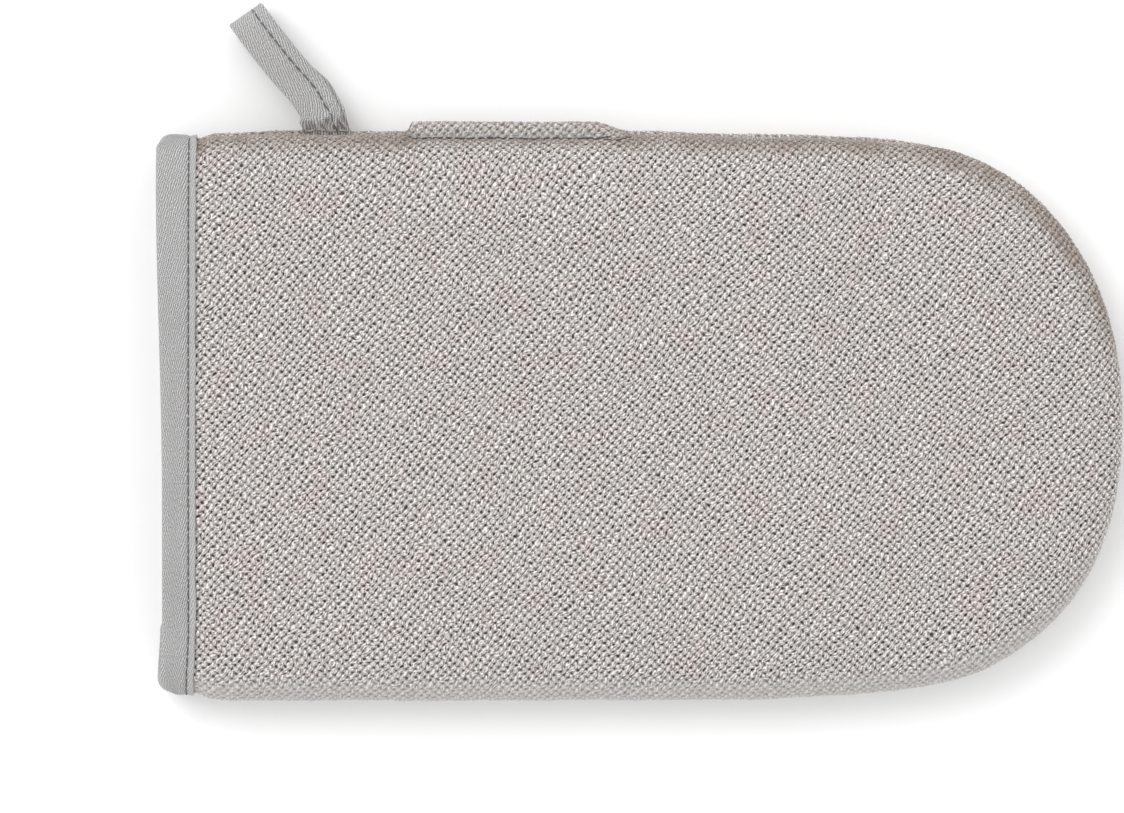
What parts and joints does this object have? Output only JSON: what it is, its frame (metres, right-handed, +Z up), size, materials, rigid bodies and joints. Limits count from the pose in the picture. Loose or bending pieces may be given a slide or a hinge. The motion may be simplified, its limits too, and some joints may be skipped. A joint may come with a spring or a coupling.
{
  "type": "thumbless padded heat mitt",
  "caption": "Thumbless padded mitt with a rounded finger end, a taped cuff and a tape hanging loop, for holding hot or steaming things.",
  "frame": {"origin": "under the middle of the mitt's outline, on the plane that its back rests on", "axes": "+X from the cuff to the fingertips, +Y towards the hanging loop, +Z up from the back to the palm"},
  "size_m": [0.2399, 0.1733, 0.024],
  "materials": {
    "shell_fabric": "coarse basket weave, matte with bright yarn crowns",
    "barrier_film": "crinkled metallised film",
    "batting": "felted fibre",
    "lining_cotton": "plain-weave cotton, matte",
    "twill_tape": "twill tape, matte",
    "dark_thread": "polyester thread, slight sheen",
    "shell_thread": "polyester thread, slight sheen",
    "lining_thread": "cotton thread, matte"
  },
  "bodies": {
    "mitt": {"palm_shell": "shell_fabric", "back_shell": "shell_fabric", "palm_heat_barrier": "barrier_film", "back_heat_barrier": "barrier_film", "palm_batting": "batting", "back_batting": "batting", "palm_lining": "lining_cotton", "back_lining": "lining_cotton", "cuff_binding": "twill_tape", "cuff_binding_stitches": "dark_thread", "side_seam_stitches": "shell_thread", "lining_seam_stitches": "lining_thread", "gap_closure_stitches": "dark_thread", "loop_root_stitches": "shell_thread"},
    "loop": {"hanging_loop": "twill_tape", "loop_edge_stitches": "dark_thread"}
  },
  "joints": [
    {"name": "loop_swing", "type": "hinge", "parent": "mitt", "child": "loop", "pos_m": [-0.0776, 0.0723, 0.011], "axis": [1, 0, 0], "range_deg": [-0.5, 96]}
  ]
}
